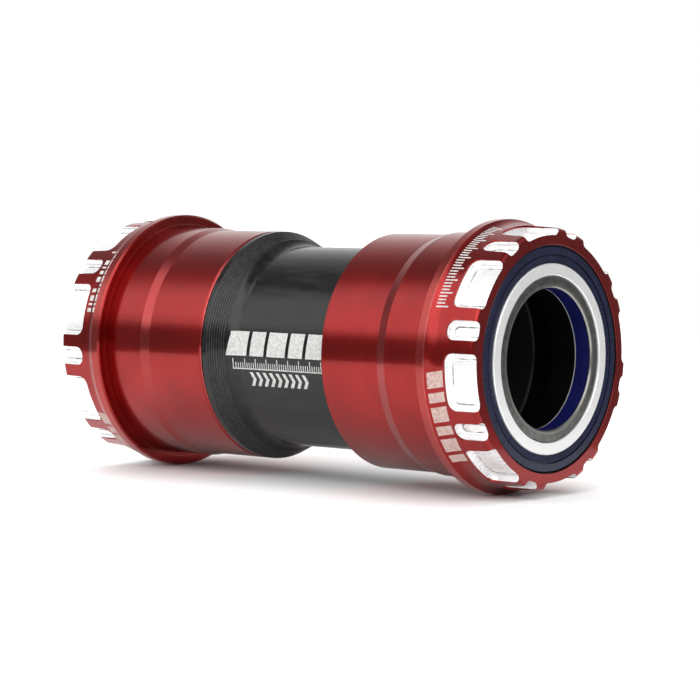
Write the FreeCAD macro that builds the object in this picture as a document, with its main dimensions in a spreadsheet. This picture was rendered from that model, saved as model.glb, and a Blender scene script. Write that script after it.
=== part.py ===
import FreeCAD, Part
import math
import os

import Sketcher

# Thread-together bottom bracket. Two flanged cups press into the ends of a bicycle's shell from
# outside and screw onto one centre sleeve. Each cup holds a 24 x 37 x 7 ball bearing for the spindle.
#
# Frame: millimetres. +X runs along the spindle axis to the drive side, +Z is up, and the origin is
# on the axis in the shell's middle plane. Angles around the axis grow from +Y towards +Z.

DOC = FreeCAD.newDocument("BottomBracket")
SHEET = DOC.addObject("Spreadsheet::Sheet", "Sheet")
SHEET.Label = "dimensions"

# alias, value (mm, degrees or a count), what it is
DRIVING_DIMENSIONS = [
    ("shell_width", 73, "distance between the two cup shoulders"),
    ("flange_width", 10.8, "shoulder to outer face"),
    ("cup_reach", 22.6, "shoulder to the cup's inner end"),
    ("seat_diameter", 42, "pressed zone of the cup, the shell's bore"),
    ("seat_length", 8.3, "shoulder to the end of the pressed zone"),
    ("seat_taper_length", 1.85, "lead-in taper between pressed and relieved zone"),
    ("relief_diameter", 41.2, "relieved zone of the cup, and the sleeve's collar"),
    ("lip_diameter", 46.7, "flange lip"),
    ("lip_width", 1.8, "shoulder to the lip's outboard edge"),
    ("cove_width", 3.9, "shoulder to the end of the hollow below the lip"),
    ("cove_radius", 2.8, "section radius of that hollow"),
    ("cone_diameter", 44.8, "tooth cone at the hollow"),
    ("face_diameter", 44, "tooth cone at the outer face"),
    ("edge_break", 0.3, "chamfer on turned outer edges"),
    ("face_edge_radius", 0.7, "round edge between the tooth cone and the outer face"),
    ("notch_count", 8, "wide notches, and as many narrow ones"),
    ("wide_notch_angle", 25, "width of a wide tool notch"),
    ("narrow_notch_angle", 8.6, "width of a narrow tool notch"),
    ("notch_spacing_angle", 22.5, "from a wide notch to the next narrow one"),
    ("notch_length", 5.6, "notch, from the outer face"),
    ("notch_floor_diameter", 41.6, "bottom of the notches"),
    ("notch_corner_radius", 1.55, "end corners of a notch"),
    ("notch_floor_radius", 1.1, "blend from floor to wall"),
    ("bearing_outside", 37, "bearing outer diameter"),
    ("bearing_bore", 24, "spindle diameter"),
    ("bearing_width", 7, "outer race width"),
    ("bearing_depth", 1.6, "outer face of the cup to the outer race"),
    ("press_gap", 0.01, "gap per side drawn between pressed parts"),
    ("shoulder_width", 1, "bearing stop inside the cup"),
    ("shoulder_bore", 34.4, "bore of the bearing stop"),
    ("mouth_diameter", 38, "counterbore for the dust seal"),
    ("thread_pitch", 1, "M37 x 1, right-hand"),
    ("male_major", 37, "crest of the sleeve's thread"),
    ("male_root", 35.84, "root of the sleeve's thread, just clear of its smooth outside"),
    ("male_root_flat", 0.2, "flat at the bottom of the sleeve's thread groove"),
    ("female_minor", 36.04, "crest of the cup's thread, which slides over the smooth sleeve"),
    ("female_root", 37.2, "root of the cup's thread"),
    ("female_root_flat", 0.18, "flat at the bottom of the cup's thread groove"),
    ("thread_start", 17.6, "where the cup's thread starts, from the middle plane"),
    ("thread_relief", 1, "runout behind the cup's thread"),
    ("thread_relief_bore", 37.4, "bore of that runout"),
    ("plain_bore", 37.3, "bore of the cup's inner end"),
    ("gland_bore", 38.9, "bottom of the O-ring gland"),
    ("gland_start", 0.7, "from the cup's inner end to the gland"),
    ("gland_width", 1.8, "width of the gland"),
    ("o_ring_section", 1.5, "O-ring thickness as squeezed"),
    ("sleeve_diameter", 35.8, "smooth outside of the sleeve"),
    ("sleeve_bore", 32, "inside of the sleeve"),
    ("sleeve_end", 32, "end of the sleeve, from the middle plane"),
    ("smooth_end", 22.4, "end of the smooth outside, from the middle plane"),
    ("tip_chamfer", 0.7, "chamfer at the ends of the sleeve's threads"),
    ("collar_land", 1.4, "straight part of the collar, beside the cup's inner end"),
    ("collar_cone_end", 9.5, "small end of the collar's cone, from the middle plane"),
    ("collar_cone_diameter", 38.4, "small end of the collar's cone"),
    ("collar_end", 7, "end of the hollow blend from that cone to the tube, from the middle plane"),
    ("collar_lip_break", 0.5, "chamfer at the collar's outer corner"),
    ("turned_pitch", 0.4, "pitch of the fine grooves turned into the collar's cone"),
    ("turned_depth", 0.12, "depth of those grooves"),
    ("turned_count", 7, "number of those grooves"),
    ("ball_diameter", 3.175, "an eighth of an inch"),
    ("ball_count", 20, "balls in each bearing"),
    ("ball_gap", 0.01, "gap drawn between a ball and each raceway"),
    ("raceway_radius", 1.65, "cross-section radius of the raceways"),
    ("inner_shoulder", 28.1, "outside of the inner race"),
    ("outer_shoulder", 32.9, "bore of the outer race"),
    ("race_face_depth", 0.3, "outer face of the cup to the inner race's nose"),
    ("race_edge_break", 0.25, "chamfer on the races' corners"),
    ("liner_thickness", 0.5, "spindle liner wall"),
    ("liner_start", 0.8, "outer face of the cup to the liner"),
    ("liner_length", 2.7, "liner length along the axis"),
    ("seal_diameter", 34, "bearing seal recess in the outer race"),
    ("seal_recess_depth", 0.9, "depth of that recess"),
    ("seal_thickness", 0.5, "bearing seal body"),
    ("seal_lip_thickness", 0.62, "bearing seal at its lip"),
    ("running_gap", 0.05, "radial gap between parts that turn past each other"),
    ("cage_width", 3.2, "ball cage width"),
    ("cage_bore", 28.9, "ball cage bore"),
    ("cage_outside", 32.1, "ball cage outer diameter"),
    ("wear_ring_diameter", 32.1, "outside of the bright ring"),
    ("dust_seal_face_depth", 0.15, "outer face of the cup to the dust seal"),
    ("dust_seal_groove", 35.2, "outer edge of the groove in the dust seal's face"),
    ("dust_seal_groove_width", 0.25, "width of that groove"),
    ("dust_seal_groove_depth", 0.4, "depth of that groove"),
    ("dust_seal_slope", 0.2, "how far the dust seal's inner band falls away"),
    ("wear_ring_face_depth", 0.05, "outer face of the cup to the bright ring"),
    ("drive_turn", 8, "how far the drive cup is turned about +X, in degrees"),
    ("non_drive_turn", -16.5, "the same for the other cup"),
    ("thread_phase", 0.02, "where the cup's thread groove crosses its own +Y side"),
]

for row, (alias, value, meaning) in enumerate(DRIVING_DIMENSIONS, start=1):
    SHEET.set(f"A{row}", meaning)
    SHEET.set(f"B{row}", str(value))
    SHEET.setAlias(f"B{row}", alias)
DOC.recompute()

# Places along the axis that several pieces share, as spreadsheet formulas
FACE = "(Sheet.shell_width / 2 + Sheet.flange_width)"
SHOULDER = "(Sheet.shell_width / 2)"
CUP_END = "(Sheet.shell_width / 2 - Sheet.cup_reach)"
BEARING_OUT = f"({FACE} - Sheet.bearing_depth)"
BEARING_IN = f"({BEARING_OUT} - Sheet.bearing_width)"
BEARING_MIDDLE = f"({BEARING_OUT} - Sheet.bearing_width / 2)"
THREAD_END = f"({BEARING_IN} - Sheet.shoulder_width - Sheet.thread_relief)"
PLAIN_BORE_END = "(Sheet.thread_start - (Sheet.plain_bore - Sheet.female_minor) / 2)"
THREAD_SHOULDER = "(Sheet.smooth_end + (Sheet.male_major - Sheet.sleeve_diameter) / 2)"
GLAND_START = f"({CUP_END} + Sheet.gland_start)"
GLAND_END = f"({GLAND_START} + Sheet.gland_width)"
RACE_NOSE = f"({FACE} - Sheet.race_face_depth)"
LINER_OUT = f"({FACE} - Sheet.liner_start)"
LINER_IN = f"({LINER_OUT} - Sheet.liner_length)"
COLLAR_CONE_START = f"(Sheet.collar_land - {CUP_END})"

# Radii that several pieces share
BALL_CIRCLE = "((Sheet.inner_shoulder + Sheet.outer_shoulder) / 4)"
BALL_REACH = "(Sheet.ball_diameter / 2 + Sheet.ball_gap)"
LINER_OUTSIDE = "(Sheet.bearing_bore / 2 + Sheet.liner_thickness)"

CAGE_SHIFT = 0.7            # the cage's closed back lies on the outboard side of the balls
GROOVE_SHARE = 0.9          # width of a fine turned groove as a share of its pitch
CUT_MARGIN = 0.2            # how far a cutter starts outside the metal
NEAR = 0.01                 # tolerance for finding an edge by its place

X_AXIS = FreeCAD.Vector(1, 0, 0)
Y_AXIS = FreeCAD.Vector(0, 1, 0)
Z_AXIS = FreeCAD.Vector(0, 0, 1)

SUB_PARTS = []


# ---- helpers ---------------------------------------------------------------------------------

def value(formula):
    """A spreadsheet formula's result as a plain number."""
    return float(SHEET.evalExpression(formula.replace("Sheet.", "")))


def origin_item(body, role):
    """One of a body's own origin planes or axes."""
    return next(item for item in body.Origin.OriginFeatures if item.Role == role)


def new_body(name):
    body = DOC.addObject("PartDesign::Body", name)
    body.Label = name
    return body


def new_sketch(body, name, role="XY_Plane"):
    sketch = body.newObject("Sketcher::SketchObject", name)
    sketch.AttachmentSupport = [(origin_item(body, role), "")]
    sketch.MapMode = "FlatFace"
    return sketch


def bind(sketch, constraint, formula):
    """Add a dimension to a sketch and tie it to a spreadsheet formula."""
    number = sketch.addConstraint(constraint)
    sketch.setExpression(f"Constraints[{number}]", formula)


def hold_point(sketch, geometry, end, across, up):
    """Fix one end of a line or arc by its two distances from the sketch's origin."""
    bind(sketch, Sketcher.Constraint("DistanceX", -1, 1, geometry, end, value(across)), across)
    bind(sketch, Sketcher.Constraint("DistanceY", -1, 1, geometry, end, value(up)), up)


def arc_between(start, end, radius, bulge):
    """The short arc from start to end, bulging to the left of the way for 1 and to the right for -1."""
    chord = end - start
    outwards = FreeCAD.Vector(-chord.y, chord.x, 0).normalize() * bulge
    rise = math.sqrt(radius ** 2 - (chord.Length / 2) ** 2)
    middle = (start + end) * 0.5 + outwards * (radius - rise)
    return Part.Arc(start, middle, end)


def end_at(sketch, geometry, spot):
    """Which end of a line or arc, 1 or 2, is at a spot."""
    return 1 if (sketch.getPoint(geometry, 1) - spot).Length < NEAR else 2


def closed_outline(sketch, points, arcs=None):
    """A closed chain of lines through formula points, with every corner tied to the spreadsheet.

    arcs names the stretches that are arcs instead: stretch number to radius formula and bulge.
    """
    arcs = arcs or {}
    drawn = sketch.GeometryCount
    spots = [FreeCAD.Vector(value(across), value(up), 0) for across, up in points]
    for index, start in enumerate(spots):
        end = spots[(index + 1) % len(spots)]
        if index in arcs:
            radius, bulge = arcs[index]
            sketch.addGeometry(arc_between(start, end, value(radius), bulge))
        else:
            sketch.addGeometry(Part.LineSegment(start, end))
    for index, (across, up) in enumerate(points):
        stretch, before = drawn + index, drawn + (index - 1) % len(points)
        here = end_at(sketch, stretch, spots[index])
        there = end_at(sketch, before, spots[index])
        sketch.addConstraint(Sketcher.Constraint("Coincident", before, there, stretch, here))
        hold_point(sketch, stretch, here, across, up)
    for index, (radius, _) in arcs.items():
        bind(sketch, Sketcher.Constraint("Radius", drawn + index, value(radius)), radius)


def turned(body, name, kind, sketch):
    """A full turn of a sketch about the spindle axis: added as a Revolution or cut as a Groove."""
    feature = body.newObject(kind, name)
    feature.Profile = sketch
    feature.ReferenceAxis = (origin_item(body, "X_Axis"), [""])
    feature.Angle = 360
    DOC.recompute()
    return feature


def revolve(body, points, arcs=None):
    sketch = new_sketch(body, f"{body.Name}_half_section")
    closed_outline(sketch, points, arcs)
    return turned(body, f"{body.Name}_blank", "PartDesign::Revolution", sketch)


def grind_raceway(body, centre_radius):
    """Cut the round-bottomed track that the balls run in."""
    sketch = new_sketch(body, f"{body.Name}_raceway_section")
    centre = FreeCAD.Vector(value(BEARING_MIDDLE), value(centre_radius), 0)
    sketch.addGeometry(Part.Circle(centre, Z_AXIS, value("Sheet.raceway_radius")))
    hold_point(sketch, 0, 3, BEARING_MIDDLE, centre_radius)
    bind(sketch, Sketcher.Constraint("Radius", 0, value("Sheet.raceway_radius")), "Sheet.raceway_radius")
    return turned(body, f"{body.Name}_raceway", "PartDesign::Groove", sketch)


def cut_thread(body, name, start, end, phase, bottom, mouth, flat):
    """Cut a right-hand 60 degree thread groove from start to end along the axis.

    The middle of the groove crosses the +Y side at phase plus whole pitches. bottom and mouth are
    the radii of the groove's flat and of its open side. start and end lie outside the metal that
    is threaded, so that the groove runs in and out at its full depth.
    """
    first = f"({phase} + Sheet.thread_pitch * ceil(({start} - {phase}) / Sheet.thread_pitch))"
    half_mouth = f"({flat} / 2 + abs({mouth} - {bottom}) * tan(30 deg))"
    sketch = new_sketch(body, f"{name}_section")
    closed_outline(sketch, [
        (f"{first} - {flat} / 2", bottom),
        (f"{first} + {flat} / 2", bottom),
        (f"{first} + {half_mouth}", mouth),
        (f"{first} - {half_mouth}", mouth),
    ])
    feature = body.newObject("PartDesign::SubtractiveHelix", name)
    feature.Profile = sketch
    feature.ReferenceAxis = (origin_item(body, "X_Axis"), [""])
    feature.Mode = 0
    feature.setExpression("Pitch", "Sheet.thread_pitch")
    feature.setExpression("Height", f"{end} - {first}")
    DOC.recompute()
    return feature


def polar_pattern(body, name, feature, count):
    """Repeat a feature evenly around the spindle axis."""
    pattern = body.newObject("PartDesign::PolarPattern", name)
    pattern.Originals = [feature]
    pattern.Axis = (origin_item(body, "X_Axis"), [""])
    pattern.Angle = 360
    pattern.setExpression("Occurrences", count)
    body.Tip = pattern
    DOC.recompute()
    return pattern


def finish(piece, side=None, local=None):
    """Put a piece where its side of the shell is and list it for export."""
    local = local or FreeCAD.Placement()
    piece.Placement = side["place"].multiply(local) if side else local
    SUB_PARTS.append(piece)


# ---- cups ------------------------------------------------------------------------------------

def cup_section():
    """Outside of a cup from its inner end to the face, then back along its bore."""
    outside = [
        (CUP_END, "Sheet.relief_diameter / 2 - Sheet.edge_break"),
        (f"{CUP_END} + Sheet.edge_break", "Sheet.relief_diameter / 2"),
        (f"{SHOULDER} - Sheet.seat_length - Sheet.seat_taper_length", "Sheet.relief_diameter / 2"),
        (f"{SHOULDER} - Sheet.seat_length", "Sheet.seat_diameter / 2"),
        (SHOULDER, "Sheet.seat_diameter / 2"),
        (SHOULDER, "Sheet.lip_diameter / 2 - Sheet.edge_break"),
        (f"{SHOULDER} + Sheet.edge_break", "Sheet.lip_diameter / 2"),
        (f"{SHOULDER} + Sheet.lip_width", "Sheet.lip_diameter / 2"),
        (f"{SHOULDER} + Sheet.cove_width", "Sheet.cone_diameter / 2"),
        (FACE, "Sheet.face_diameter / 2"),
    ]
    bore = [
        (FACE, "Sheet.mouth_diameter / 2 + Sheet.race_edge_break"),
        (f"{FACE} - Sheet.race_edge_break", "Sheet.mouth_diameter / 2"),
        (BEARING_OUT, "Sheet.mouth_diameter / 2"),
        (BEARING_OUT, "Sheet.bearing_outside / 2 + Sheet.press_gap"),
        (BEARING_IN, "Sheet.bearing_outside / 2 + Sheet.press_gap"),
        (BEARING_IN, "Sheet.shoulder_bore / 2"),
        (f"{BEARING_IN} - Sheet.shoulder_width", "Sheet.shoulder_bore / 2"),
        (f"{BEARING_IN} - Sheet.shoulder_width", "Sheet.thread_relief_bore / 2"),
        (THREAD_END, "Sheet.thread_relief_bore / 2"),
        (THREAD_END, "Sheet.female_minor / 2"),
        ("Sheet.thread_start", "Sheet.female_minor / 2"),
        (PLAIN_BORE_END, "Sheet.plain_bore / 2"),
        (GLAND_END, "Sheet.plain_bore / 2"),
        (GLAND_END, "Sheet.gland_bore / 2"),
        (GLAND_START, "Sheet.gland_bore / 2"),
        (GLAND_START, "Sheet.plain_bore / 2"),
        (f"{CUP_END} + Sheet.edge_break", "Sheet.plain_bore / 2"),
        (CUP_END, "Sheet.plain_bore / 2 + Sheet.edge_break"),
    ]
    cove_stretch = len(outside) - 3
    return outside + bore, {cove_stretch: ("Sheet.cove_radius", -1)}


def turn_face_edge(body):
    """Turn the round edge between the tooth cone and the face, across all the teeth."""
    edge_start = f"({FACE} - Sheet.face_edge_radius)"
    beyond_face = f"({FACE} + {CUT_MARGIN})"
    beyond_cone = f"(Sheet.face_diameter / 2 + {CUT_MARGIN})"
    sketch = new_sketch(body, f"{body.Name}_face_edge_section")
    closed_outline(sketch, [
        (edge_start, "Sheet.face_diameter / 2"),
        (FACE, "Sheet.face_diameter / 2 - Sheet.face_edge_radius"),
        (beyond_face, "Sheet.face_diameter / 2 - Sheet.face_edge_radius"),
        (beyond_face, beyond_cone),
        (edge_start, beyond_cone),
    ], {0: ("Sheet.face_edge_radius", 1)})
    groove = turned(body, f"{body.Name}_face_edge", "PartDesign::Groove", sketch)
    body.Tip = groove


def mill_notches(body, name, angle, middle_angle):
    """Mill one kind of tool notch in from the face, all the way around."""
    low = f"({middle_angle} - {angle} / 2)"
    high = f"({middle_angle} + {angle} / 2)"
    floor = "(Sheet.notch_floor_diameter / 2)"
    outer = "(Sheet.lip_diameter / 2)"
    sketch = new_sketch(body, f"{name}_section", "YZ_Plane")
    corners = [
        (f"{floor} * cos({low} * 1 deg)", f"{floor} * sin({low} * 1 deg)"),
        (f"{floor} * cos({high} * 1 deg)", f"{floor} * sin({high} * 1 deg)"),
        (f"{outer} * cos({high} * 1 deg)", f"{outer} * sin({high} * 1 deg)"),
        (f"{outer} * cos({low} * 1 deg)", f"{outer} * sin({low} * 1 deg)"),
    ]
    spots = [FreeCAD.Vector(value(across), value(up), 0) for across, up in corners]
    for index, reach in ((0, floor), (2, outer)):
        start, end = spots[index], spots[index + 1]
        middle = (start + end).normalize() * value(reach)
        sketch.addGeometry(Part.Arc(start, middle, end))
        if index == 0:
            sketch.addGeometry(Part.LineSegment(spots[1], spots[2]))
    sketch.addGeometry(Part.LineSegment(spots[3], spots[0]))
    for index, (across, up) in enumerate(corners):
        before = (index - 1) % len(corners)
        here = end_at(sketch, index, spots[index])
        there = end_at(sketch, before, spots[index])
        sketch.addConstraint(Sketcher.Constraint("Coincident", before, there, index, here))
        hold_point(sketch, index, here, across, up)
    for index, reach in ((0, floor), (2, outer)):
        bind(sketch, Sketcher.Constraint("Radius", index, value(reach)), reach)
    sketch.AttachmentOffset = FreeCAD.Placement(
        FreeCAD.Vector(0, 0, value(f"{FACE} + {CUT_MARGIN}")), FreeCAD.Rotation())
    pocket = body.newObject("PartDesign::Pocket", name)
    pocket.Profile = sketch
    pocket.setExpression("Length", f"Sheet.notch_length + {CUT_MARGIN}")
    DOC.recompute()
    return polar_pattern(body, f"{name}_around", pocket, "Sheet.notch_count")


def notch_end_corners(shape):
    """Names of the radial edges where a notch's end wall meets its side walls."""
    end = value(f"{FACE} - Sheet.notch_length")
    names = []
    for number, edge in enumerate(shape.Edges, start=1):
        box = edge.BoundBox
        on_end_wall = abs(box.XMin - end) < NEAR and abs(box.XMax - end) < NEAR
        if on_end_wall and isinstance(edge.Curve, Part.Line):
            names.append(f"Edge{number}")
    return names


def notch_floor_edges(shape):
    """Names of the edges around the notch floors, apart from those open at the face."""
    floor = value("Sheet.notch_floor_diameter / 2")
    face = value(FACE)
    names = []
    for number, edge in enumerate(shape.Edges, start=1):
        middle = edge.valueAt((edge.FirstParameter + edge.LastParameter) / 2)
        ends = [vertex.Point for vertex in edge.Vertexes]
        spots = ends + [middle]
        on_floor = all(abs(math.hypot(spot.y, spot.z) - floor) < NEAR for spot in spots)
        if on_floor and middle.x < face - NEAR:
            names.append(f"Edge{number}")
    return names


def round_edges(body, name, base, edges, radius):
    fillet = body.newObject("PartDesign::Fillet", name)
    fillet.Base = (base, edges)
    fillet.setExpression("Radius", radius)
    DOC.recompute()
    return fillet


def make_cup(side):
    body = new_body(f"{side['name']}_cup")
    points, arcs = cup_section()
    revolve(body, points, arcs)
    run_in = f"({PLAIN_BORE_END} - Sheet.thread_pitch / 2)"
    run_out = f"({THREAD_END} + Sheet.thread_relief / 2)"
    cut_thread(body, f"{body.Name}_thread", run_in, run_out, "Sheet.thread_phase",
               "Sheet.female_root / 2", "Sheet.female_minor / 2", "Sheet.female_root_flat")
    mill_notches(body, f"{body.Name}_wide_notch", "Sheet.wide_notch_angle", "0")
    notched = mill_notches(body, f"{body.Name}_narrow_notch", "Sheet.narrow_notch_angle",
                           "Sheet.notch_spacing_angle")
    cornered = round_edges(body, f"{body.Name}_notch_corners", notched,
                           notch_end_corners(notched.Shape), "Sheet.notch_corner_radius")
    round_edges(body, f"{body.Name}_notch_floors", cornered,
                notch_floor_edges(cornered.Shape), "Sheet.notch_floor_radius")
    turn_face_edge(body)
    finish(body, side)


# ---- sleeve ----------------------------------------------------------------------------------

def sleeve_section():
    """Outside of the sleeve from the non-drive end to the drive end, then the plain bore."""
    outside = [
        ("-Sheet.sleeve_end", "Sheet.male_major / 2 - Sheet.tip_chamfer"),
        ("-Sheet.sleeve_end + Sheet.tip_chamfer", "Sheet.male_major / 2"),
        (f"-{THREAD_SHOULDER}", "Sheet.male_major / 2"),
        ("-Sheet.smooth_end", "Sheet.sleeve_diameter / 2"),
        (f"-{CUP_END}", "Sheet.sleeve_diameter / 2"),
        (f"-{CUP_END}", "Sheet.relief_diameter / 2 - Sheet.collar_lip_break"),
        (f"-{CUP_END} + Sheet.collar_lip_break", "Sheet.relief_diameter / 2"),
        (COLLAR_CONE_START, "Sheet.relief_diameter / 2"),
        ("-Sheet.collar_cone_end", "Sheet.collar_cone_diameter / 2"),
        ("-Sheet.collar_end", "Sheet.sleeve_diameter / 2"),
        ("Sheet.smooth_end", "Sheet.sleeve_diameter / 2"),
        (THREAD_SHOULDER, "Sheet.male_major / 2"),
        ("Sheet.sleeve_end - Sheet.tip_chamfer", "Sheet.male_major / 2"),
        ("Sheet.sleeve_end", "Sheet.male_major / 2 - Sheet.tip_chamfer"),
    ]
    bore = [
        ("Sheet.sleeve_end", "Sheet.sleeve_bore / 2 + Sheet.edge_break"),
        ("Sheet.sleeve_end - Sheet.edge_break", "Sheet.sleeve_bore / 2"),
        ("-Sheet.sleeve_end + Sheet.edge_break", "Sheet.sleeve_bore / 2"),
        ("-Sheet.sleeve_end", "Sheet.sleeve_bore / 2 + Sheet.edge_break"),
    ]
    blend_stretch = 8
    blend_length = "(Sheet.collar_cone_end - Sheet.collar_end)"
    blend_drop = "((Sheet.collar_cone_diameter - Sheet.sleeve_diameter) / 2)"
    blend_radius = f"(({blend_length} ^ 2 + {blend_drop} ^ 2) / (2 * {blend_drop}))"
    return outside + bore, {blend_stretch: (blend_radius, -1)}


def turn_collar_grooves(body):
    """Fine V grooves side by side on the collar's cone, for grip."""
    sketch = new_sketch(body, "collar_groove_section")
    cone_length = f"(-Sheet.collar_cone_end - {COLLAR_CONE_START})"
    cone_drop = "((Sheet.relief_diameter - Sheet.collar_cone_diameter) / 2)"
    half_width = f"(Sheet.turned_pitch * {GROOVE_SHARE} / 2)"
    half_run = "(Sheet.turned_pitch * (Sheet.turned_count - 1) / 2)"
    for index in range(int(value("Sheet.turned_count"))):
        along = f"({cone_length} / 2 - {half_run} + Sheet.turned_pitch * {index})"
        middle = f"({COLLAR_CONE_START} + {along})"
        surface = f"(Sheet.relief_diameter / 2 - {cone_drop} * {along} / {cone_length})"
        fall = f"({cone_drop} * {half_width} / {cone_length})"
        closed_outline(sketch, [
            (f"{middle} - {half_width}", f"{surface} + {fall}"),
            (middle, f"{surface} - Sheet.turned_depth"),
            (f"{middle} + {half_width}", f"{surface} - {fall}"),
            (middle, f"{surface} + Sheet.turned_depth"),
        ])
    body.Tip = turned(body, "collar_grooves", "PartDesign::Groove", sketch)


def make_sleeve():
    body = new_body("centre_sleeve")
    points, arcs = sleeve_section()
    revolve(body, points, arcs)
    turn_collar_grooves(body)
    thread = ("Sheet.male_root / 2", "Sheet.male_major / 2", "Sheet.male_root_flat")
    run_in = "(Sheet.smooth_end - 1.5 * Sheet.thread_pitch)"
    past_tip = "(Sheet.sleeve_end + Sheet.thread_pitch / 2)"
    drive_phase = "(Sheet.thread_phase + Sheet.thread_pitch * (0.5 - Sheet.drive_turn / 360))"
    non_drive_phase = "(-Sheet.thread_phase - Sheet.thread_pitch * Sheet.non_drive_turn / 360)"
    cut_thread(body, "drive_thread", run_in, past_tip, drive_phase, *thread)
    cut_thread(body, "non_drive_thread", f"-{past_tip}", f"-{run_in}", non_drive_phase, *thread)
    finish(body)


# ---- bearings --------------------------------------------------------------------------------

def make_outer_race(side):
    body = new_body(f"{side['name']}_bearing_outer_race")
    outside = "Sheet.bearing_outside / 2"
    recess = "Sheet.seal_diameter / 2"
    revolve(body, [
        (BEARING_IN, recess),
        (BEARING_IN, f"{outside} - Sheet.race_edge_break"),
        (f"{BEARING_IN} + Sheet.race_edge_break", outside),
        (f"{BEARING_OUT} - Sheet.race_edge_break", outside),
        (BEARING_OUT, f"{outside} - Sheet.race_edge_break"),
        (BEARING_OUT, recess),
        (f"{BEARING_OUT} - Sheet.seal_recess_depth", recess),
        (f"{BEARING_OUT} - Sheet.seal_recess_depth", "Sheet.outer_shoulder / 2"),
        (f"{BEARING_IN} + Sheet.seal_recess_depth", "Sheet.outer_shoulder / 2"),
        (f"{BEARING_IN} + Sheet.seal_recess_depth", recess),
    ])
    grind_raceway(body, f"({BALL_CIRCLE} + {BALL_REACH} - Sheet.raceway_radius)")
    finish(body, side)


def make_inner_race(side):
    """Inner race with a long nose that reaches out to the dust seal, recessed for the liner."""
    body = new_body(f"{side['name']}_bearing_inner_race")
    bore = "Sheet.bearing_bore / 2"
    outside = "Sheet.inner_shoulder / 2"
    recess = f"{LINER_OUTSIDE} + Sheet.press_gap"
    revolve(body, [
        (BEARING_IN, f"{bore} + Sheet.race_edge_break"),
        (BEARING_IN, f"{outside} - Sheet.race_edge_break"),
        (f"{BEARING_IN} + Sheet.race_edge_break", outside),
        (f"{RACE_NOSE} - Sheet.race_edge_break", outside),
        (RACE_NOSE, f"{outside} - Sheet.race_edge_break"),
        (RACE_NOSE, f"{bore} + Sheet.race_edge_break"),
        (f"{RACE_NOSE} - Sheet.race_edge_break", bore),
        (LINER_OUT, bore),
        (LINER_OUT, recess),
        (LINER_IN, recess),
        (LINER_IN, bore),
        (f"{BEARING_IN} + Sheet.race_edge_break", bore),
    ])
    grind_raceway(body, f"({BALL_CIRCLE} - {BALL_REACH} + Sheet.raceway_radius)")
    finish(body, side)


def make_balls(side):
    """All the balls of one bearing, evenly spaced on the ball circle."""
    name = f"{side['name']}_bearing_balls"
    balls = []
    for index in range(int(value("Sheet.ball_count"))):
        ball = DOC.addObject("Part::Sphere", f"{name}_{index + 1}")
        ball.setExpression("Radius", "Sheet.ball_diameter / 2")
        angle = f"360 deg * {index} / Sheet.ball_count"
        ball.setExpression("Placement.Base.x", BEARING_MIDDLE)
        ball.setExpression("Placement.Base.y", f"{BALL_CIRCLE} * cos({angle})")
        ball.setExpression("Placement.Base.z", f"{BALL_CIRCLE} * sin({angle})")
        balls.append(ball)
    group = DOC.addObject("Part::Compound", name)
    group.Label = name
    group.Links = balls
    DOC.recompute()
    finish(group, side)


def make_cage(side):
    """Crown cage: a ring closed on its outboard side, with a round pocket for each ball."""
    body = new_body(f"{side['name']}_bearing_cage")
    inboard = f"({BEARING_MIDDLE} + {CAGE_SHIFT} - Sheet.cage_width / 2)"
    outboard = f"({BEARING_MIDDLE} + {CAGE_SHIFT} + Sheet.cage_width / 2)"
    revolve(body, [
        (inboard, "Sheet.cage_bore / 2"),
        (inboard, "Sheet.cage_outside / 2"),
        (outboard, "Sheet.cage_outside / 2"),
        (outboard, "Sheet.cage_bore / 2"),
    ])
    pocket = body.newObject("PartDesign::SubtractiveSphere", f"{body.Name}_pocket")
    pocket.setExpression("Radius", "Sheet.ball_diameter / 2 + Sheet.running_gap")
    pocket.AttachmentSupport = [(origin_item(body, "XY_Plane"), "")]
    pocket.MapMode = "FlatFace"
    pocket.setExpression("AttachmentOffset.Base.x", BEARING_MIDDLE)
    pocket.setExpression("AttachmentOffset.Base.y", BALL_CIRCLE)
    DOC.recompute()
    polar_pattern(body, f"{body.Name}_pockets", pocket, "Sheet.ball_count")
    finish(body, side)


def make_bearing_seal(side, position, outward):
    """Rubber seal clipped into the outer race, with a thicker lip beside the inner race.

    outward is 1 for the seal on the bearing's outboard side and -1 for the inboard one.
    """
    body = new_body(f"{side['name']}_bearing_{position}_seal")
    recess_floor = "(Sheet.bearing_width / 2 - Sheet.seal_recess_depth + Sheet.press_gap)"
    inner = "(Sheet.inner_shoulder / 2 + Sheet.running_gap)"
    lip = f"({inner} + Sheet.seal_lip_thickness)"
    outer = "(Sheet.seal_diameter / 2 - Sheet.press_gap)"
    back = f"{BEARING_MIDDLE} + {outward} * {recess_floor}"
    front = f"{BEARING_MIDDLE} + {outward} * ({recess_floor} + Sheet.seal_thickness)"
    lip_front = f"{BEARING_MIDDLE} + {outward} * ({recess_floor} + Sheet.seal_lip_thickness)"
    revolve(body, [
        (back, inner),
        (back, outer),
        (front, outer),
        (front, lip),
        (lip_front, f"{lip} - Sheet.seal_lip_thickness / 4"),
        (lip_front, inner),
    ])
    finish(body, side)


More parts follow.
